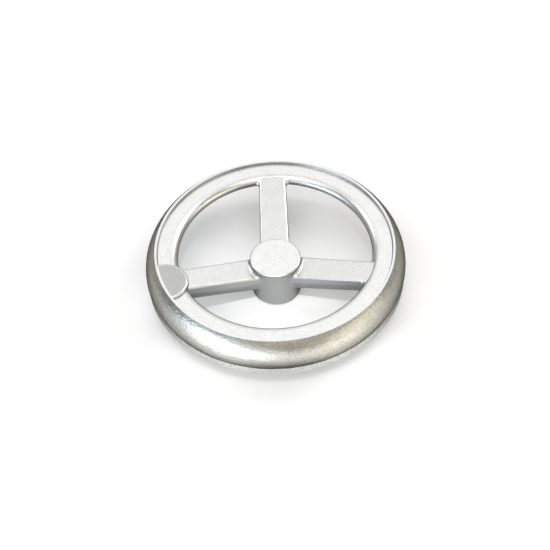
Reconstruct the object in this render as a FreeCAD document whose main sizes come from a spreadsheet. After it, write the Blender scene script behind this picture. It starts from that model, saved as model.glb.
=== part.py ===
"""A machine handwheel, cast in one piece, with three spokes and a pad for a crank handle.

Frame: origin at the centre of the hub's back face, +Z along the shaft and out of the front,
+Y along the back spoke. Millimetres.
"""
import FreeCAD, Part
import math
import os
import Sketcher

PART_NAME = "handwheel"

# Driving dimensions: alias, value, what it is
DIMENSIONS = [
    ("WheelRadius", 100.0, "widest radius of the rim"),
    ("FlatHeight", 43.0, "flat front face of the rim above the hub's back face"),
    ("FlatWidth", 9.1, "width of the flat face"),
    ("InnerRounding", 6.1, "radius from the flat down to the inner edge"),
    ("LipHeight", 2.2, "step from the flat up to the lip"),
    ("LipSlope", 0.8, "how far the step leans back"),
    ("LipWidth", 1.8, "land on top of the lip"),
    ("BulgeInset", 7.6, "outer edge of the lip inside the widest radius"),
    ("BulgeDrop", 18.2, "from the lip's land down to the widest radius"),
    ("CreaseInset", 1.7, "crease inside the widest radius"),
    ("CreaseDrop", 7.2, "from the widest radius down to the crease"),
    ("SkirtHeight", 5.2, "land below the crease"),
    ("SkirtFlare", 0.4, "how far the land runs out towards its lower edge"),
    ("FlatWall", 4.5, "metal under the flat"),
    ("SkirtWall", 5.0, "metal at the widest radius"),
    ("SkirtDraft", 0.4, "how much the skirt's inner wall opens downwards"),
    ("HubRadius", 19.6, "hub at its front face"),
    ("HubBackRadius", 18.6, "hub at its back face"),
    ("HubStand", 5.4, "hub's front face above the spokes at its wall"),
    ("HubHeight", 34.6, "hub from its back to its front face"),
    ("HubRounding", 1.2, "edge of the hub's front face"),
    ("HubChamfer", 1.0, "edge of the hub's back face"),
    ("BoreRadius", 9.0, "blind shaft bore"),
    ("BoreDepth", 26.0, "full diameter of the bore"),
    ("BoreTip", 2.6, "cone past the bore's full diameter"),
    ("BoreChamfer", 1.0, "chamfer at the mouth of the bore"),
    ("SpokeAngle", 108.5, "from the back spoke to each side spoke"),
    ("SpokeSink", 0.358, "spoke's top face below the flat at the flat's inner edge"),
    ("SpokeDepth", 14.5, "spoke from its top face to its underside"),
    ("SpokeHubWidth", 22.4, "spoke's width at the hub's wall"),
    ("SpokeRimWidth", 20.8, "spoke's width at the rim's inner edge"),
    ("SpokeEdge", 6.5, "upright upper part of a spoke's side, with its rounding"),
    ("SpokeDraft", 2.6, "how far each side leans in below it, down to the underside"),
    ("SpokeRounding", 2.0, "upper edges of a spoke"),
    ("SpokeStart", 6.0, "where a spoke starts, inside the hub"),
    ("RootSink", 0.6, "spoke's root below the flat, inside the rim"),
    ("RootReach", 3.0, "spoke's end from the skirt's outer face"),
    ("HubFillet", 2.5, "where a spoke runs into the hub"),
    ("RimFillet", 2.5, "where a spoke runs into the rim"),
    ("PadRadius", 18.0, "round pad for the crank handle"),
    ("PadInset", 11.0, "middle of the pad inside the widest radius"),
    ("PadRounding", 1.8, "upper edge of the pad"),
    ("PadDepth", 12.0, "pad's wall, from its face down over the spoke"),
    ("TurningSpare", 4.0, "stock outside the rim, turned off at the end"),
]

# Places that follow from the driving dimensions
DERIVED = [
    ("LipOuter", "WheelRadius - BulgeInset", "outer edge of the lip"),
    ("LipTop", "FlatHeight + LipHeight", "height of the lip's land and of the pad"),
    ("FlatOuter", "LipOuter - LipWidth - LipSlope", "outer edge of the flat"),
    ("FlatInner", "FlatOuter - FlatWidth", "inner edge of the flat"),
    ("InnerRadius", "FlatInner - InnerRounding", "inner edge of the rim"),
    ("RoundingFoot", "FlatHeight - InnerRounding", "height where the rounding ends"),
    ("WidestHeight", "LipTop - BulgeDrop", "height of the widest radius"),
    ("CreaseHeight", "WidestHeight - CreaseDrop", "height of the crease"),
    ("CreaseRadius", "WheelRadius - CreaseInset", "radius of the crease"),
    ("SkirtFoot", "CreaseHeight - SkirtHeight", "lower edge of the rim"),
    ("SkirtRadius", "CreaseRadius + SkirtFlare", "radius of the skirt's lower edge"),
    ("BulgeRound", "(BulgeDrop ^ 2 + BulgeInset ^ 2) / (2 * BulgeInset)", "radius of the bulge"),
    ("CreaseRound", "(CreaseDrop ^ 2 + CreaseInset ^ 2) / (2 * CreaseInset)", "radius below it"),
    ("CoreRound", "BulgeRound - SkirtWall", "radius of the bulge from inside"),
    ("CoreTop", "FlatHeight - FlatWall", "underside of the flat"),
    ("CoreRadius", "WheelRadius - SkirtWall", "skirt's inner wall at the widest radius"),
    ("CoreCorner", "CoreRadius - CoreRound + sqrt(CoreRound ^ 2 - (CoreTop - WidestHeight) ^ 2)",
     "where the underside of the flat meets the bulge"),
    ("StockRadius", "WheelRadius - PadInset + PadRadius + TurningSpare", "stock to be turned"),
    ("SpokeHubTop", "HubHeight - HubStand", "spoke's top face at the hub's wall"),
    ("SpokeInnerTop", "FlatHeight - SpokeSink", "spoke's top face at the flat's inner edge"),
    ("SpokeRise", "(SpokeInnerTop - SpokeHubTop) / (FlatInner - HubRadius)", "slope of the spoke"),
    ("SpokeRimTop", "SpokeHubTop + SpokeRise * (InnerRadius - HubRadius)", "top at the rim's edge"),
    ("SpokeStartTop", "SpokeHubTop - SpokeRise * (HubRadius - SpokeStart)", "top at its start"),
    ("SpokeTaper", "(SpokeHubWidth - SpokeRimWidth) / (InnerRadius - HubRadius)", "loss of width"),
    ("SpokeStartWidth", "SpokeHubWidth + SpokeTaper * (HubRadius - SpokeStart)", "at its start"),
    ("RootRadius", "CreaseRadius - RootReach", "where a spoke ends, inside the skirt"),
    ("RootTop", "FlatHeight - RootSink", "top of the spoke's root"),
    ("RootFoot", "SpokeRimTop - SpokeDepth + SpokeRise * (RootRadius - InnerRadius)", "its foot"),
    ("PadPlace", "WheelRadius - PadInset", "from the shaft to the middle of the pad"),
]

# Middle of the pad, across and along the back spoke
PAD_CENTRE = ("-PadPlace * sin(SpokeAngle * 1 deg)", "PadPlace * cos(SpokeAngle * 1 deg)")


def fill_sheet(doc):
    """The spreadsheet: driving dimensions as plain numbers, then what follows from them."""
    sheet = doc.addObject("Spreadsheet::Sheet", "Sizes")
    rows = [(alias, str(value), note) for alias, value, note in DIMENSIONS]
    rows += [(alias, "=" + rule, note) for alias, rule, note in DERIVED]
    for row, (alias, content, note) in enumerate(rows, start=1):
        sheet.set(f"A{row}", alias)
        sheet.setAlias(f"B{row}", alias)
        sheet.set(f"B{row}", content)
        sheet.set(f"C{row}", note)
    doc.recompute()
    return sheet


class Outline:
    """A closed sketch whose corners and arcs are bound to the sheet.

    Corners are pairs of rules, such as ("InnerRadius", "RoundingFoot"). An edge from one corner
    to the next is straight unless arc() gives its radius and the way it turns.
    """

    def __init__(self, body, name, role, corners):
        plane = next(item for item in body.Origin.OriginFeatures if item.Role == role)
        self.sketch = body.newObject("Sketcher::SketchObject", name)
        self.sketch.AttachmentSupport = [(plane, "")]
        self.sketch.MapMode = "FlatFace"
        self.corners = corners
        self.arcs = {}

    def value(self, rule):
        """The number that a rule gives now."""
        return float(self.sketch.evalExpression(bind(rule)))

    def point(self, index):
        """A corner as a vector in the sketch's plane."""
        across, up = self.corners[index % len(self.corners)]
        return FreeCAD.Vector(self.value(across), self.value(up), 0)

    def arc(self, index, radius, turns_left):
        """Make the edge after a corner an arc."""
        self.arcs[index] = (radius, turns_left)
        return self

    def draw(self):
        """Add the edges, join them, and bind each corner and radius."""
        ends = []
        for index in range(len(self.corners)):
            ends.append(self._add_edge(index))
        for index, (edge, _, last) in enumerate(ends):
            after, first, _ = ends[(index + 1) % len(ends)]
            self.sketch.addConstraint(Sketcher.Constraint("Coincident", edge, last, after, first))
        for (edge, first, _), (across, up) in zip(ends, self.corners):
            self._bind_corner(edge, first, "DistanceX", across, -2)
            self._bind_corner(edge, first, "DistanceY", up, -1)
        for index, (radius, _) in self.arcs.items():
            self._bind(Sketcher.Constraint("Radius", ends[index][0], self.value(radius)), radius)
        return self.sketch

    def _add_edge(self, index):
        """One edge, with the numbers of its first and last points along the outline."""
        start, end = self.point(index), self.point(index + 1)
        if index not in self.arcs:
            return self.sketch.addGeometry(Part.LineSegment(start, end)), 1, 2
        radius, turns_left = self.arcs[index]
        radius = self.value(radius)
        chord = end - start
        normal = FreeCAD.Vector(-chord.y, chord.x, 0).normalize()
        reach = math.sqrt(max(radius ** 2 - (chord.Length / 2) ** 2, 0.0))
        centre = (start + end) * 0.5 + normal * (reach if turns_left else -reach)
        first, last = (start, end) if turns_left else (end, start)
        angles = [math.atan2(p.y - centre.y, p.x - centre.x) for p in (first, last)]
        circle = Part.Circle(centre, FreeCAD.Vector(0, 0, 1), radius)
        edge = self.sketch.addGeometry(Part.ArcOfCircle(circle, *angles))
        return (edge, 1, 2) if turns_left else (edge, 2, 1)

    def _bind_corner(self, edge, end, kind, rule, axis):
        """Fix one coordinate of a corner, on an axis where the rule is 0."""
        if rule == "0":
            self.sketch.addConstraint(Sketcher.Constraint("PointOnObject", edge, end, axis))
            return
        self._bind(Sketcher.Constraint(kind, -1, 1, edge, end, self.value(rule)), rule)

    def _bind(self, constraint, rule):
        """Add a constraint whose value follows a rule."""
        number = self.sketch.addConstraint(constraint)
        self.sketch.setExpression(f"Constraints[{number}]", bind(rule))


def bind(rule):
    """A rule in the sheet's words as an expression that other objects can read."""
    for alias, *_ in sorted(DIMENSIONS + DERIVED, key=lambda row: -len(row[0])):
        rule = replace_word(rule, alias, "Sizes." + alias)
    return rule


def replace_word(text, word, new):
    """Replace a whole word, also where it stands beside brackets and signs."""
    pieces, piece = [], ""
    for letter in text + " ":
        if letter.isalnum() or letter in "._":
            piece += letter
            continue
        pieces.append(new if piece == word else piece)
        pieces.append(letter)
        piece = ""
    return "".join(pieces).strip()


def turn(body, kind, name, outline):
    """Revolve an outline about the shaft's axis, as metal added or cut away."""
    sketch = outline.draw()
    feature = body.newObject(kind, name)
    feature.Profile = sketch
    feature.ReferenceAxis = (sketch, ["V_Axis"])
    feature.Angle = 360
    return feature


def add_pad(body):
    """The round pad at the rim end of the left spoke, a disc with a rounded upper edge."""
    sketch = body.newObject("Sketcher::SketchObject", "PadCircle")
    plane = next(item for item in body.Origin.OriginFeatures if item.Role == "XY_Plane")
    sketch.AttachmentSupport = [(plane, "")]
    sketch.MapMode = "FlatFace"
    sketch.setExpression("AttachmentOffset.Base.z", bind("LipTop"))
    centre = [sketch.evalExpression(bind(rule)) for rule in PAD_CENTRE]
    circle = Part.Circle(FreeCAD.Vector(*centre, 0), FreeCAD.Vector(0, 0, 1), 1)
    edge = sketch.addGeometry(circle)
    rules = [("DistanceX", PAD_CENTRE[0]), ("DistanceY", PAD_CENTRE[1])]
    for kind, rule in rules:
        number = sketch.addConstraint(
            Sketcher.Constraint(kind, -1, 1, edge, 3, sketch.evalExpression(bind(rule))))
        sketch.setExpression(f"Constraints[{number}]", bind(rule))
    number = sketch.addConstraint(Sketcher.Constraint("Radius", edge, 1.0))
    sketch.setExpression(f"Constraints[{number}]", bind("PadRadius"))
    disc = body.newObject("PartDesign::Pad", "PadDisc")
    disc.Profile = sketch
    disc.Reversed = True
    disc.setExpression("Length", bind("PadDepth"))
    body.Document.recompute()
    fillet(body, "PadEdge", "PadRounding", lambda edge: is_circle_at(edge, disc.Shape.BoundBox.ZMax))


def is_circle_at(edge, height):
    """Whether an edge is a whole circle at a height."""
    return edge.Closed and abs(edge.BoundBox.ZMin - height) < 1e-6


def fillet(body, name, radius, wanted):
    """Round every edge of the body that a test picks."""
    body.Document.recompute()
    base = body.Tip
    edges = [f"Edge{n}" for n, edge in enumerate(base.Shape.Edges, start=1) if wanted(edge)]
    feature = body.newObject("PartDesign::Fillet", name)
    feature.Base = (base, edges)
    feature.setExpression("Radius", bind(radius))
    body.Document.recompute()
    return feature


def add_rim(body):
    """The rim with its stock outside, open at the back, flat and lip at the front."""
    outline = Outline(body, "RimOutline", "XZ_Plane", [
        ("InnerRadius", "RoundingFoot"),
        ("InnerRadius + FlatWall", "RoundingFoot"),
        ("FlatInner", "CoreTop"),
        ("CoreCorner", "CoreTop"),
        ("CoreRadius", "WidestHeight"),
        ("CoreRadius + SkirtDraft", "SkirtFoot"),
        ("StockRadius", "SkirtFoot"),
        ("StockRadius", "LipTop"),
        ("FlatOuter + LipSlope", "LipTop"),
        ("FlatOuter", "FlatHeight"),
        ("FlatInner", "FlatHeight"),
    ])
    outline.arc(10, "InnerRounding", True)
    return turn(body, "PartDesign::Revolution", "Rim", outline)


def add_spokes(body):
    """The back spoke, lofted from the hub to the skirt, and its two copies."""
    stations = [
        ("SpokeStart", "SpokeStartWidth", "SpokeStartTop", "SpokeStartTop - SpokeDepth"),
        ("FlatInner", "SpokeRimWidth", "SpokeInnerTop", "SpokeInnerTop - SpokeDepth"),
        ("RootRadius", "SpokeRimWidth", "RootTop", "RootFoot"),
    ]
    sketches = [spoke_section(body, f"SpokeSection{n}", *station)
                for n, station in enumerate(stations)]
    loft = body.newObject("PartDesign::AdditiveLoft", "BackSpoke")
    loft.Profile = sketches[0]
    loft.Sections = sketches[1:]
    loft.Ruled = True
    body.Document.recompute()
    axis = next(item for item in body.Origin.OriginFeatures if item.Role == "Z_Axis")
    for name, reverse in (("LeftSpoke", False), ("RightSpoke", True)):
        pattern = body.newObject("PartDesign::PolarPattern", name)
        pattern.Originals = [loft]
        pattern.Axis = (axis, [""])
        pattern.Occurrences = 2
        pattern.Reversed = reverse
        pattern.setExpression("Angle", bind("SpokeAngle"))
        body.Tip = pattern
        body.Document.recompute()


def spoke_section(body, name, station, width, top, foot):
    """A spoke's section across +Y at a distance from the shaft.

    Its upper corners are rounded, its sides upright at first and leaning in below.
    """
    half = f"{width} / 2"
    low = f"{half} - SpokeDraft"
    flat = f"{half} - SpokeRounding"
    shoulder = f"{top} - SpokeRounding"
    waist = f"{top} - SpokeEdge"
    outline = Outline(body, name, "XZ_Plane", [
        (f"-({low})", foot),
        (low, foot),
        (half, waist),
        (half, shoulder),
        (flat, top),
        (f"-({flat})", top),
        (f"-({half})", shoulder),
        (f"-({half})", waist),
    ])
    outline.sketch.setExpression("AttachmentOffset.Base.z", bind(f"-{station}"))
    outline.arc(3, "SpokeRounding", True)
    outline.arc(5, "SpokeRounding", True)
    return outline.draw()


def add_hub(body):
    """The hub, slightly drafted, rounded at the front and chamfered at the back."""
    rim = "HubRounding"
    outline = Outline(body, "HubOutline", "XZ_Plane", [
        ("0", "0"),
        ("HubBackRadius - HubChamfer", "0"),
        ("HubBackRadius", "HubChamfer"),
        ("HubRadius", f"HubHeight - {rim}"),
        (f"HubRadius - {rim}", "HubHeight"),
        ("0", "HubHeight"),
    ])
    outline.arc(3, rim, True)
    return turn(body, "PartDesign::Revolution", "Hub", outline)


def turn_outside(body):
    """Turn the stock off: the lip's outer edge, the bulge, the crease and the skirt."""
    outline = Outline(body, "OutsideOutline", "XZ_Plane", [
        ("LipOuter", "LipTop + TurningSpare"),
        ("LipOuter", "LipTop"),
        ("WheelRadius", "WidestHeight"),
        ("CreaseRadius", "CreaseHeight"),
        ("SkirtRadius", "SkirtFoot"),
        ("SkirtRadius", "SkirtFoot - TurningSpare"),
        ("StockRadius + TurningSpare", "SkirtFoot - TurningSpare"),
        ("StockRadius + TurningSpare", "LipTop + TurningSpare"),
    ])
    outline.arc(1, "BulgeRound", False)
    outline.arc(2, "CreaseRound", False)
    return turn(body, "PartDesign::Groove", "TurnedOutside", outline)


def bore_hub(body):
    """The blind bore from the back, with its drill's cone and a chamfered mouth."""
    outline = Outline(body, "BoreOutline", "XZ_Plane", [
        ("0", "0"),
        ("BoreRadius + BoreChamfer", "0"),
        ("BoreRadius", "BoreChamfer"),
        ("BoreRadius", "BoreDepth"),
        ("0", "BoreDepth + BoreTip"),
    ])
    return turn(body, "PartDesign::Groove", "Bore", outline)


def round_spoke_ends(body):
    """Fillets where the spokes run into the hub and, clear of the pad, into the rim."""
    sizes = {alias: body.evalExpression("Sizes." + alias) for alias, *_ in DIMENSIONS + DERIVED}
    fillet(body, "HubFillets", "HubFillet", lambda edge: leaves_hub(edge, sizes))
    fillet(body, "RimFillets", "RimFillet", lambda edge: leaves_rim(edge, sizes))


def places(edge):
    """Distances from the shaft, heights and the middle's bearing along an edge."""
    span = edge.LastParameter - edge.FirstParameter
    points = [edge.valueAt(edge.FirstParameter + span * step / 8) for step in range(9)]
    middle = points[4]
    return ([math.hypot(point.x, point.y) for point in points], [point.z for point in points],
            math.degrees(math.atan2(middle.y, middle.x)))


def leaves_hub(edge, sizes):
    """Whether an edge runs on the hub's wall between its two ends, as only a spoke's does."""
    if edge.Degenerated:
        return False
    radii, heights, _ = places(edge)
    wall = (sizes["HubBackRadius"] - 0.01, sizes["HubRadius"] - 0.01)
    on_wall = wall[0] < min(radii) and max(radii) < wall[1]
    clear = sizes["HubChamfer"] + 0.5 < min(heights) and max(heights) < sizes["SpokeHubTop"] + 0.5
    return on_wall and clear


def leaves_rim(edge, sizes):
    """Whether an edge runs across the rim's inner rounding at the top of a bare spoke."""
    if edge.Degenerated:
        return False
    radii, heights, bearing = places(edge)
    on_rounding = sizes["InnerRadius"] < min(radii) and max(radii) < sizes["FlatInner"] - 0.05
    high = min(heights) > sizes["SpokeRimTop"] - 0.01 and max(heights) < sizes["FlatHeight"] - 0.01
    bare = abs(bearing - 90) < 2 or abs(bearing - 90 + sizes["SpokeAngle"]) < 2
    return on_rounding and high and bare


def check(doc, parts):
    """Stop unless every object is computed and every sub-part is one valid solid."""
    for item in doc.Objects:
        if {"Invalid", "Error"} & set(item.State):
            raise RuntimeError(f"{item.Name} failed: {item.State}")
    for part in parts:
        shape = part.Shape
        if shape.isNull() or not shape.isValid() or len(shape.Solids) != 1:
            raise RuntimeError(f"{part.Label} isn't one valid solid")


def main():
    """Build the wheel and write it to parts/."""
    doc = FreeCAD.newDocument("Handwheel")
    fill_sheet(doc)
    body = doc.addObject("PartDesign::Body", "Handwheel")
    body.Label = PART_NAME
    body.Placement = FreeCAD.Placement()
    add_pad(body)
    add_rim(body)
    add_spokes(body)
    add_hub(body)
    round_spoke_ends(body)
    turn_outside(body)
    bore_hub(body)
    doc.recompute()
    check(doc, [body])
    os.makedirs("parts", exist_ok=True)
    body.Shape.exportStep(f"parts/{body.Label}.step")
    print(body.Label, round(body.Shape.Volume / 1000, 1), "cubic centimetres", body.Shape.BoundBox)


main()
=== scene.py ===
"""A cast machine handwheel on a white studio floor, seen from the front and above.

The casting comes from model.glb. This script welds and finishes a copy of it, dresses it as
blasted light metal, and lights it with soft boxes and spots. All lengths are metres.
"""

from __future__ import annotations

import logging
import math
from abc import ABC, abstractmethod
from dataclasses import dataclass, field
from enum import Enum

import bpy
from mathutils import Matrix, Vector


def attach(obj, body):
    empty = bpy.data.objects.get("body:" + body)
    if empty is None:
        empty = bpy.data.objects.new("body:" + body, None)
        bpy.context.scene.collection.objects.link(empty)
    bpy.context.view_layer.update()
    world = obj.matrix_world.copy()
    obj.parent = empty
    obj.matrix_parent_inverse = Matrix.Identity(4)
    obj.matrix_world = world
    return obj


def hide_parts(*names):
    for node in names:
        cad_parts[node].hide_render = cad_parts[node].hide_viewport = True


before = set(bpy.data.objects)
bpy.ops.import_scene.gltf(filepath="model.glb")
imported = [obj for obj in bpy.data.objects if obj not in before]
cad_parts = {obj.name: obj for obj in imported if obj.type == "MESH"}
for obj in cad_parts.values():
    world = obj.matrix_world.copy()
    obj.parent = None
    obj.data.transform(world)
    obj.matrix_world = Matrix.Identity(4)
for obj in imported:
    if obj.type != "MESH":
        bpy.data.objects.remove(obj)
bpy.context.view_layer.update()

LOG = logging.getLogger("handwheel")
MM = 0.001
Colour = tuple[float, float, float]
Place = tuple[float, float, float]
Socket = bpy.types.NodeSocket


class Mask(Enum):
    """The attributes that the finishing tree writes and the finish reads."""

    UPWARD = "upward"
    BULGE = "outer_bulge"


class Tint(Enum):
    """The colours of the lamps' light."""

    WHITE = (1.0, 1.0, 1.0)
    WARM = (1.0, 0.94, 0.78)
    CREAM = (1.0, 0.95, 0.86)
    COOL = (0.90, 0.96, 1.0)
    BLUE = (0.74, 0.88, 1.0)


def opaque(colour: Colour) -> tuple[float, float, float, float]:
    """The colour with full alpha, as node sockets want it."""
    return (*colour, 1.0)


@dataclass
class NodeBench:
    """A node tree being wired up."""

    tree: bpy.types.NodeTree

    def add(self, kind: str, inputs: dict | None = None, **settings: object) -> bpy.types.Node:
        """Add a node, set its properties, and fill or link its inputs.

        Args:
            kind: The node's type name.
            inputs: Socket name or number to a value, or to another node's output socket.
            settings: Properties of the node itself.

        Returns:
            The new node.
        """
        node = self.tree.nodes.new(kind)
        for name, value in settings.items():
            setattr(node, name, value)
        for key, value in (inputs or {}).items():
            socket = node.inputs[key]
            if isinstance(value, Socket):
                self.tree.links.new(value, socket)
            else:
                socket.default_value = value
        return node

    def math(self, operation: str, *values: object) -> Socket:
        """A Math node's result."""
        inputs = dict(enumerate(values))
        return self.add("ShaderNodeMath", inputs, operation=operation).outputs[0]

    def attribute(self, name: str) -> Socket:
        """A stored attribute's value."""
        return self.add("ShaderNodeAttribute", attribute_name=name).outputs["Fac"]

    def between(self, share: Socket, ends: tuple[float, float]) -> Socket:
        """A number between two ends by a share."""
        return self.math("MULTIPLY_ADD", share, ends[1] - ends[0], ends[0])

    def ramp(self, value: Socket, start: float, stop: float, low: object = 0.0) -> Socket:
        """A smooth step up to one.

        Args:
            value: What the step follows.
            start: The value at the step's foot.
            stop: The value at its top.
            low: The number at the foot, or a socket with it.

        Returns:
            The number.
        """
        return self.add("ShaderNodeMapRange", {
            "Value": value, "From Min": start, "From Max": stop, "To Min": low, "To Max": 1.0},
            interpolation_type="SMOOTHSTEP").outputs[0]

    def mix(self, share: object, low: object, high: object, blend: str = "MIX") -> Socket:
        """Two colours mixed by a share."""
        return self.add("ShaderNodeMix", {0: share, 6: low, 7: high}, data_type="RGBA",
                        blend_type=blend).outputs[2]


@dataclass(frozen=True)
class BlastedCasting:
    """Blasted light metal: a fine grain, faint mottling, and a darker outer bulge whose darkness is
    painted shade.
    """

    name: str = "blasted_casting"
    # Colours by zone
    face: Colour = (0.87, 0.875, 0.875)
    skin: Colour = (0.82, 0.82, 0.805)
    # Upright walls get a dark colour as painted shade
    painted_wall_shade: Colour = (0.42, 0.425, 0.425)
    land: Colour = (0.58, 0.58, 0.57)
    # The bulge's dark colour is painted shade for the dark surroundings its sides reflect
    bulge: Colour = (0.41, 0.40, 0.37)
    pad: Colour = (0.53, 0.53, 0.52)
    edge_tint: Colour = (0.06, 0.058, 0.052)
    # Painted shade on the bulge just above the crease, standing for a dark reflection: full at the
    # middle and gone beyond the fade
    painted_shade: float = 0.52
    painted_shade_top: float = 31.0 * MM
    painted_shade_foot: float = 23.0 * MM
    painted_shade_middle: float = 4.0 * MM
    painted_shade_fade: tuple[float, float] = (8.0 * MM, 46.0 * MM)
    # Where the zones end
    crease_height: float = 20.0 * MM
    lip_inside: float = 90.3 * MM
    pad_level: float = 44.5 * MM
    level: float = 0.999
    wall_tilt: float = 0.15
    skin_tilt: float = 0.75
    # Grain and mottling, with pairs for a plain face and for the bulge, or for low and high noise
    roughness: tuple[float, float] = (0.29, 0.39)
    noise_detail: float = 2.0
    noise_roughness: float = 0.55
    grain_size: float = 1.7 * MM
    grain_depth: float = 0.34 * MM
    grain_strength: tuple[float, float] = (0.40, 1.0)
    speck_share: tuple[float, float] = (0.30, 1.0)
    mottle_size: float = 9 * MM
    mottle_share: tuple[float, float] = (0.94, 1.06)

    def build(self) -> bpy.types.Material:
        """Make the finish.

        Returns:
            A material that reads Object coordinates and the masks.
        """
        material = bpy.data.materials.new(self.name)
        material.use_nodes = True
        bench = NodeBench(material.node_tree)
        bench.tree.nodes.clear()
        place = bench.add("ShaderNodeTexCoord").outputs["Object"]
        bulge = bench.attribute(Mask.BULGE.value)
        grain = self._noise(bench, place, self.grain_size)
        mottle = self._noise(bench, place, self.mottle_size)
        rough = bench.add("ShaderNodeMapRange", {
            "Value": mottle, "To Min": self.roughness[0], "To Max": self.roughness[1]})
        bump = bench.add("ShaderNodeBump", {
            "Height": grain, "Strength": bench.between(bulge, self.grain_strength),
            "Distance": self.grain_depth})
        plain = self._plain_colour(bench, place, bulge)
        uneven = self._unevenness(bench, bulge, grain, mottle)
        shader = bench.add("ShaderNodeBsdfPrincipled", {
            "Base Color": bench.mix(1.0, plain, uneven, "MULTIPLY"), "Metallic": 1.0,
            "Roughness": rough.outputs[0], "Specular Tint": opaque(self.edge_tint),
            "Normal": bump.outputs[0]})
        bench.add("ShaderNodeOutputMaterial", {"Surface": shader.outputs[0]})
        return material

    def _noise(self, bench: NodeBench, place: Socket, size: float) -> Socket:
        """Noise whose largest features are about one size across."""
        return bench.add("ShaderNodeTexNoise", {
            "Vector": place, "Scale": 1 / size, "Detail": self.noise_detail,
            "Roughness": self.noise_roughness}).outputs[0]

    def _plain_colour(self, bench: NodeBench, place: Socket, bulge: Socket) -> Socket:
        """The colour by zone, before anything makes it uneven.

        Args:
            bench: The material's tree.
            place: The Object coordinates.
            bulge: The mask of the rim's outside.

        Returns:
            The colour.
        """
        parts = bench.add("ShaderNodeSeparateXYZ", {0: place}).outputs
        inner = self._inner_colour(bench, parts)
        outer = self._outer_colour(bench, parts)
        return bench.mix(bulge, inner, outer)

    def _inner_colour(self, bench: NodeBench, parts: bpy.types.bpy_prop_collection) -> Socket:
        """The colour of everything but the rim's outside.

        Args:
            bench: The material's tree.
            parts: The Object coordinates, one socket each.

        Returns:
            Dark on upright walls, which is painted shade, paler on open skin, palest on level
            faces, grey on the pad.
        """
        upward = bench.attribute(Mask.UPWARD.value)
        level = bench.math("GREATER_THAN", upward, self.level)
        reach = bench.math("SQRT", bench.math(
            "ADD", bench.math("POWER", parts["X"], 2.0), bench.math("POWER", parts["Y"], 2.0)))
        high = bench.math("GREATER_THAN", parts["Z"], self.pad_level)
        inside = bench.math("LESS_THAN", reach, self.lip_inside)
        pad = bench.math("MULTIPLY", level, bench.math("MULTIPLY", high, inside))
        # Painted shade: the colour darkens as a face turns upright
        open_up = bench.ramp(upward, self.wall_tilt, self.skin_tilt)
        colour = bench.mix(open_up, opaque(self.painted_wall_shade), opaque(self.skin))
        colour = bench.mix(level, colour, opaque(self.face))
        return bench.mix(pad, colour, opaque(self.pad))

    def _outer_colour(self, bench: NodeBench, parts: bpy.types.bpy_prop_collection) -> Socket:
        """The colour of the rim's outside.

        Args:
            bench: The material's tree.
            parts: The Object coordinates, one socket each.

        Returns:
            The land's colour below the crease, and above it the bulge's, which darkens towards the
            crease in the middle stretch. The bulge's dark colour and this darkening are painted
            shade.
        """
        # Painted shade: the bulge darkens towards the crease, most in the middle stretch
        aside = bench.math("ABSOLUTE", bench.math("SUBTRACT", parts["X"], self.painted_shade_middle))
        shade = bench.ramp(aside, self.painted_shade_fade[0], self.painted_shade_fade[1], self.painted_shade)
        painted_shade_factor = bench.ramp(parts["Z"], self.painted_shade_foot, self.painted_shade_top, shade)
        dark = bench.mix(1.0, opaque(self.bulge), painted_shade_factor, "MULTIPLY")
        below = bench.math("LESS_THAN", parts["Z"], self.crease_height)
        return bench.mix(below, dark, opaque(self.land))

    def _unevenness(self, bench: NodeBench, bulge: Socket, grain: Socket,
                    mottle: Socket) -> Socket:
        """What the colour is multiplied by.

        Args:
            bench: The material's tree.
            bulge: The mask of the rim's outside, where the specks are stronger.
            grain: The fine noise.
            mottle: The coarse noise.

        Returns:
            A number near one.
        """
        fine = bench.math("SUBTRACT", grain, 0.5)
        speck = bench.math("MULTIPLY_ADD", fine, bench.between(bulge, self.speck_share), 1.0)
        cloud = bench.between(mottle, self.mottle_share)
        return bench.math("MULTIPLY", speck, cloud)


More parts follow.
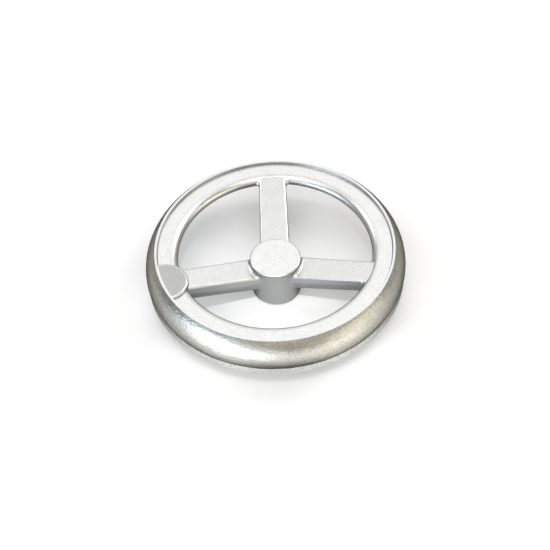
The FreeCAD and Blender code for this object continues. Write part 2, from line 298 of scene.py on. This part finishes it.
@dataclass
class Casting:
    """The wheel itself, one piece, finished from a welded copy of its node."""

    node: str = "handwheel"
    name: str = "cast_wheel"
    body: str = "root"
    slot: str = "cast_metal"
    weld: float = 0.0001 * MM
    sharp_angle: float = math.radians(24)
    level_tilt: float = 0.999
    # The bulge's mask: how far out it starts, and how much a face there has to lean outward
    lip_outside: float = 92.3 * MM
    outward_least: float = 0.5 * MM
    normal_weight: int = 100
    finish: BlastedCasting = field(default_factory=BlastedCasting)

    def build(self) -> bpy.types.Object:
        """Finish the casting and let it ride on its body in place of the node.

        Returns:
            The finished casting.
        """
        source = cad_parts[self.node]
        mesh = source.data.copy()
        mesh.name = self.name
        piece = bpy.data.objects.new(self.name, mesh)
        bpy.context.scene.collection.objects.link(piece)
        self._finish_by_nodes(piece)
        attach(piece, self.body)
        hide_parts(self.node)
        return piece

    def _finish_by_nodes(self, piece: bpy.types.Object) -> None:
        """Run the finishing tree on the piece and keep its result as the piece's mesh.

        Args:
            piece: The object whose mesh is replaced.
        """
        tree, inputs = self._finishing_tree()
        modifier = piece.modifiers.new("finishing", "NODES")
        modifier.node_group = tree
        for identifier, value in inputs.items():
            modifier[identifier] = value
        weighted = piece.modifiers.new("weighted_normals", "WEIGHTED_NORMAL")
        weighted.keep_sharp = True
        weighted.weight = self.normal_weight
        graph = bpy.context.evaluated_depsgraph_get()
        made = bpy.data.meshes.new_from_object(piece.evaluated_get(graph), depsgraph=graph)
        piece.modifiers.clear()
        made.name = self.name
        piece.data = made

    def _finishing_tree(self) -> tuple[bpy.types.NodeTree, dict[str, float]]:
        """The tree that welds, creases and marks the faces for the finish.

        Returns:
            The tree, and its inputs' values by identifier.
        """
        tree = bpy.data.node_groups.new("casting_finish", "GeometryNodeTree")
        sockets = tree.interface
        sockets.new_socket("Geometry", in_out="INPUT", socket_type="NodeSocketGeometry")
        values = {}
        for name, value in (("Weld", self.weld), ("Sharp angle", self.sharp_angle),
                            ("Level tilt", self.level_tilt), ("Lip outside", self.lip_outside),
                            ("Outward least", self.outward_least)):
            socket = sockets.new_socket(name, in_out="INPUT", socket_type="NodeSocketFloat")
            values[socket.identifier] = value
        sockets.new_socket("Geometry", in_out="OUTPUT", socket_type="NodeSocketGeometry")
        bench = NodeBench(tree)
        given = bench.add("NodeGroupInput").outputs
        shape = self._shaded(bench, given)
        for mask, (value, domain) in self._masks(bench, given).items():
            shape = self._store(bench, shape, mask.value, value, "FLOAT", domain)
        shape = bench.add("GeometryNodeRealizeInstances", {"Geometry": shape}).outputs[0]
        shape = bench.add("GeometryNodeSetMaterial", {
            "Geometry": shape, "Material": self.finish.build()}).outputs[0]
        bench.add("NodeGroupOutput", {"Geometry": shape})
        return tree, values

    def _shaded(self, bench: NodeBench, given: bpy.types.bpy_prop_collection) -> Socket:
        """The welded mesh with level faces flat, the others smooth, and sharp edges marked.

        Args:
            bench: The tree.
            given: The tree's inputs.

        Returns:
            The geometry.
        """
        shape = bench.add("GeometryNodeMergeByDistance", {
            "Geometry": given["Geometry"], "Distance": given["Weld"]}).outputs[0]
        normal = bench.add("GeometryNodeInputNormal").outputs[0]
        tilt = bench.math("ABSOLUTE", bench.add("ShaderNodeSeparateXYZ", {0: normal}).outputs["Z"])
        sloped = bench.math("LESS_THAN", tilt, given["Level tilt"])
        shape = bench.add("GeometryNodeSetShadeSmooth", {
            "Geometry": shape, "Shade Smooth": sloped}, domain="FACE").outputs[0]
        angle = bench.add("GeometryNodeInputMeshEdgeAngle").outputs["Unsigned Angle"]
        sharp = bench.add("FunctionNodeCompare", {0: angle, 1: given["Sharp angle"]},
                          operation="GREATER_THAN").outputs[0]
        return self._store(bench, shape, "sharp_edge", sharp, "BOOLEAN", "EDGE")

    def _store(self, bench: NodeBench, shape: Socket, name: str, value: Socket, kind: str,
               domain: str) -> Socket:
        """The geometry with one more named attribute."""
        return bench.add("GeometryNodeStoreNamedAttribute", {
            "Geometry": shape, "Name": name, "Value": value},
            data_type=kind, domain=domain).outputs[0]

    def _masks(self, bench: NodeBench,
               given: bpy.types.bpy_prop_collection) -> dict[Mask, tuple[Socket, str]]:
        """The masks that the finish reads.

        Args:
            bench: The tree.
            given: The tree's inputs.

        Returns:
            Each mask's value and the domain that it is stored on.
        """
        normal = bench.add("GeometryNodeInputNormal").outputs[0]
        place = bench.add("GeometryNodeInputPosition").outputs[0]
        upward = bench.add("ShaderNodeSeparateXYZ", {0: normal}).outputs["Z"]
        across = bench.add("ShaderNodeVectorMath", {0: place, 1: (1, 1, 0)},
                           operation="MULTIPLY").outputs[0]
        reach = bench.add("ShaderNodeVectorMath", {0: across}, operation="LENGTH").outputs["Value"]
        outward = bench.add("ShaderNodeVectorMath", {0: across, 1: normal},
                            operation="DOT_PRODUCT").outputs["Value"]
        faces_out = bench.math("GREATER_THAN", outward, given["Outward least"])
        beyond_lip = bench.math("GREATER_THAN", reach, given["Lip outside"])
        bulge = bench.math("MULTIPLY", faces_out, beyond_lip)
        return {Mask.UPWARD: (upward, "CORNER"), Mask.BULGE: (bulge, "FACE")}


@dataclass(frozen=True, kw_only=True)
class Lamp(ABC):
    """What every lamp has. It points at the wheel unless it has another target."""

    name: str
    place: Place
    watts: float
    tint: Tint = Tint.WHITE
    target: Place = (0.0, 0.0, 0.03)

    def hang(self) -> None:
        """Put the lamp at its place and point it at its target."""
        light = self._light()
        light.energy = self.watts
        light.color = self.tint.value
        lamp = bpy.data.objects.new(self.name, light)
        lamp.location = self.place
        aim = Vector(self.target) - Vector(self.place)
        lamp.rotation_euler = aim.to_track_quat("-Z", "Y").to_euler()
        bpy.context.scene.collection.objects.link(lamp)

    @abstractmethod
    def _light(self) -> bpy.types.Light:
        """The light, which each kind of lamp makes in its own way."""


@dataclass(frozen=True, kw_only=True)
class SoftBox(Lamp):
    """A wide lamp of a width and a height."""

    size: tuple[float, float]

    def _light(self) -> bpy.types.Light:
        """A rectangular area light.

        Returns:
            The light, without its power and colour.
        """
        light = bpy.data.lights.new(self.name, "AREA")
        light.shape = "RECTANGLE"
        light.size, light.size_y = self.size
        return light


@dataclass(frozen=True, kw_only=True)
class Spot(Lamp):
    """A lamp with a narrow beam, for one patch of the floor."""

    beam: float
    softness: float = 0.05
    blend: float = 0.8

    def _light(self) -> bpy.types.Light:
        """A spot light.

        Returns:
            The light, without its power and colour.
        """
        light = bpy.data.lights.new(self.name, "SPOT")
        light.spot_size = self.beam
        light.spot_blend = self.blend
        light.shadow_soft_size = self.softness
        return light


@dataclass(frozen=True)
class FloorWhite:
    """A matt white that is lifted a little for what sees it directly."""

    name: str = "floor_white"
    colour: Colour = (0.93, 0.93, 0.93)
    lift_colour: Colour = (1.0, 1.0, 1.0)
    lift: float = 0.09

    def build(self) -> bpy.types.Material:
        """Make the finish.

        Returns:
            The material.
        """
        material = bpy.data.materials.new(self.name)
        material.use_nodes = True
        bench = NodeBench(material.node_tree)
        bench.tree.nodes.clear()
        ray = bench.add("ShaderNodeLightPath").outputs
        seen = bench.math("MAXIMUM", ray["Is Camera Ray"],
                          bench.math("MAXIMUM", ray["Is Glossy Ray"], ray["Is Transmission Ray"]))
        matt = bench.add("ShaderNodeBsdfDiffuse", {"Color": opaque(self.colour)})
        glow = bench.add("ShaderNodeEmission", {
            "Color": opaque(self.lift_colour), "Strength": bench.math("MULTIPLY", seen, self.lift)})
        both = bench.add("ShaderNodeAddShader", {0: matt.outputs[0], 1: glow.outputs[0]})
        bench.add("ShaderNodeOutputMaterial", {"Surface": both.outputs[0]})
        return material


@dataclass
class Studio:
    """The floor, the lamps and the world."""

    floor_size: float = 12.0
    floor_finish: FloorWhite = FloorWhite()
    world: Colour = (0.09, 0.088, 0.08)
    world_strength: float = 1.3
    soft_boxes: tuple[SoftBox, ...] = (
        SoftBox(name="key_box", place=(-0.10, -0.42, 1.05), size=(1.3, 0.80), watts=6.2),
        SoftBox(name="back_box", place=(0.22, 0.96, 1.34), size=(2.4, 1.7), watts=12.3),
        SoftBox(name="left_wing", place=(-1.5, 0.75, 1.15), size=(1.0, 1.2), watts=7.5),
        SoftBox(name="right_wing", place=(1.5, 0.75, 1.15), size=(1.0, 1.2), watts=9.5),
        SoftBox(name="front_box", place=(0.3, -2.60, 1.30), size=(4.0, 2.0), watts=15.0,
                tint=Tint.WARM),
        SoftBox(name="left_box", place=(-1.3, -1.00, 0.22), size=(1.2, 0.4), watts=14.0,
                tint=Tint.BLUE),
        SoftBox(name="right_box", place=(1.7, -0.80, 0.35), size=(1.6, 0.8), watts=10.0,
                tint=Tint.WARM),
        SoftBox(name="horizon_box", place=(0.0, 2.2, 0.46), size=(2.0, 0.7), watts=4.5),
    )
    floor_spots: tuple[Spot, ...] = (
        Spot(name="front_spot", place=(-0.22, -0.95, 1.6), target=(-0.145, -0.325, 0.0),
             watts=1040.0, beam=math.radians(12.6), tint=Tint.COOL),
        Spot(name="right_spot", place=(0.60, -0.85, 1.6), target=(0.17, -0.235, 0.0),
             watts=350.0, beam=math.radians(9.6), tint=Tint.CREAM),
        Spot(name="left_spot", place=(-0.60, -0.85, 1.6), target=(-0.175, -0.205, 0.0),
             watts=170.0, beam=math.radians(8.0), tint=Tint.COOL),
        Spot(name="gap_spot", place=(0.0, -0.62, 1.6), target=(0.0, -0.01, 0.0),
             watts=48.0, beam=math.radians(5.6)),
    )

    def build(self) -> None:
        """Build everything that isn't the object or the camera."""
        self._floor()
        self._world()
        for lamp in (*self.soft_boxes, *self.floor_spots):
            lamp.hang()

    def _floor(self) -> None:
        """A wide white floor under the wheel."""
        half = self.floor_size / 2
        corners = [(-half, -half, 0), (half, -half, 0), (half, half, 0), (-half, half, 0)]
        mesh = bpy.data.meshes.new("studio_floor")
        mesh.from_pydata(corners, [], [(0, 1, 2, 3)])
        floor = bpy.data.objects.new("studio_floor", mesh)
        bpy.context.scene.collection.objects.link(floor)
        mesh.materials.append(self.floor_finish.build())

    def _world(self) -> None:
        """A plain soft world."""
        world = bpy.data.worlds.new("studio_world")
        bpy.context.scene.world = world
        world.use_nodes = True
        background = world.node_tree.nodes["Background"]
        background.inputs["Color"].default_value = opaque(self.world)
        background.inputs["Strength"].default_value = self.world_strength


@dataclass
class PhotoCamera:
    """The camera at the photograph's angle.

    The wheel's flat face is centred at pixel_x, pixel_y of a square picture.
    """

    elevation: float = math.radians(49.0)
    bearing: float = math.radians(0.8)
    roll: float = math.radians(3.15)
    distance: float = 2.197
    field_of_view: float = math.radians(10.945)
    sensor: float = 36.0
    sight: float = 50.0
    picture: float = 550.0
    pixel_x: float = 274.9
    pixel_y: float = 250.3
    target: Place = (0.0, 0.0, 0.043)

    def build(self) -> bpy.types.Object:
        """Make the scene's camera.

        Returns:
            The camera.
        """
        half_width = math.tan(self.field_of_view / 2)
        data = bpy.data.cameras.new("photo_camera")
        data.sensor_width = self.sensor
        data.sensor_fit = "HORIZONTAL"
        data.lens = self.sensor / 2 / half_width
        data.clip_end = self.sight
        camera = bpy.data.objects.new("photo_camera", data)
        turn = self._turn()
        scale = self.picture / 2 / half_width
        across = (self.pixel_x - self.picture / 2) / scale * self.distance
        down = (self.pixel_y - self.picture / 2) / scale * self.distance
        place = Vector(self.target) + turn @ Vector((-across, down, self.distance))
        camera.matrix_world = Matrix.Translation(place) @ turn.to_4x4()
        bpy.context.scene.collection.objects.link(camera)
        bpy.context.scene.camera = camera
        return camera

    def _turn(self) -> Matrix:
        """The camera's turn, from its elevation, bearing and roll.

        Returns:
            A 3 by 3 matrix.
        """
        back = Vector((0, -math.cos(self.elevation), math.sin(self.elevation)))
        right = Vector((1, 0, 0))
        up = back.cross(right)
        raised = Matrix((right, up, back)).transposed()
        return (Matrix.Rotation(self.bearing, 3, "Z") @ raised
                @ Matrix.Rotation(-self.roll, 3, "Z"))


def main() -> None:
    """Build the camera, the studio and the wheel."""
    logging.basicConfig(level=logging.INFO, format="%(name)s: %(message)s")
    bpy.context.scene.view_settings.view_transform = "Standard"
    camera = PhotoCamera().build()
    LOG.info("%s: placed", camera.name)
    studio = Studio()
    studio.build()
    LOG.info("studio: %d lamps", len(studio.soft_boxes) + len(studio.floor_spots))
    wheel = Casting().build()
    LOG.info("%s: %d faces", wheel.name, len(wheel.data.polygons))


if __name__ == "__main__":
    main()
